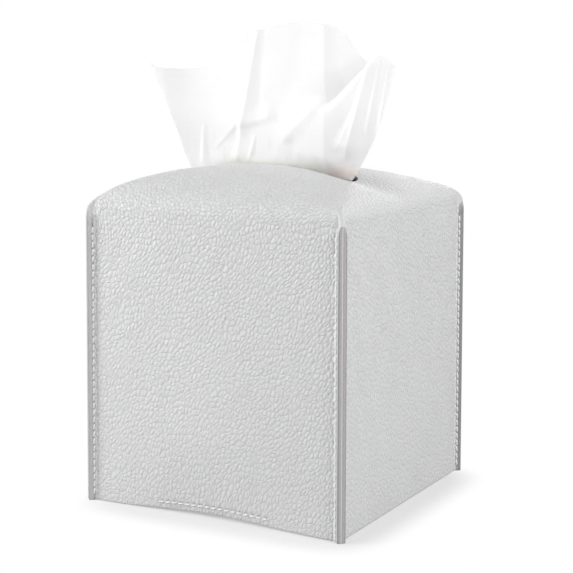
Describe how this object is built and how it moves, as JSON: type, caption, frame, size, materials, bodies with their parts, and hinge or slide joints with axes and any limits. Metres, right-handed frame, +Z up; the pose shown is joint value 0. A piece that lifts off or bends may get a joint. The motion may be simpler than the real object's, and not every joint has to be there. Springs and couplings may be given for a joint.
{
  "type": "tissue box cover",
  "caption": "Square pebbled-leather tissue box cover with raised corner seams, a domed slotted top and hook-and-loop straps that close under a cube carton.",
  "frame": {"origin": "middle of the hem's plane, under the middle of the slot", "axes": "+Z up, +X along the slot, -Y towards the front wall, whose hem shows the strap's stitches"},
  "size_m": [0.1308, 0.1308, 0.2135],
  "materials": {
    "leather": "pebbled, low sheen",
    "thread": "twisted thread",
    "strap": "pebbled, low sheen",
    "hooks": "fine moulded hooks",
    "loops": "brushed loops",
    "paperboard": "matt paperboard",
    "film": "clear film",
    "tissue": "soft creped paper"
  },
  "bodies": {
    "cover": {"leather_cover": "leather", "seam_thread_front_right": "thread", "seam_thread_rear_right": "thread", "seam_thread_rear_left": "thread", "seam_thread_front_left": "thread", "front_strap_tab": "strap", "front_strap_thread": "thread", "rear_strap_tab": "strap", "rear_strap_thread": "thread", "tissue_carton": "paperboard", "carton_film": "film", "tissue_stack": "tissue"},
    "lower_strap": {"front_strap": "strap", "hook_patch": "hooks", "hook_patch_thread": "thread"},
    "upper_strap": {"rear_strap": "strap", "loop_patch": "loops", "loop_patch_thread": "thread"},
    "drawn_tissue": {"popup_tissue": "tissue"}
  },
  "joints": [
    {"name": "lower_strap_fold", "type": "hinge", "parent": "cover", "child": "lower_strap", "pos_m": [0, -0.05725, 0.0012], "axis": [-1, 0, 0], "range_deg": [0, 110]},
    {"name": "upper_strap_fold", "type": "hinge", "parent": "cover", "child": "upper_strap", "pos_m": [0, 0.05725, 0.0012], "axis": [1, 0, 0], "range_deg": [0, 55]},
    {"name": "tissue_pull", "type": "slide", "parent": "cover", "child": "drawn_tissue", "axis": [0, 0, 1], "range_m": [0, 0.1]}
  ],
  "couplings": [
    {"joint": "upper_strap_fold", "follows": "lower_strap_fold", "ratio": 0.5}
  ]
}
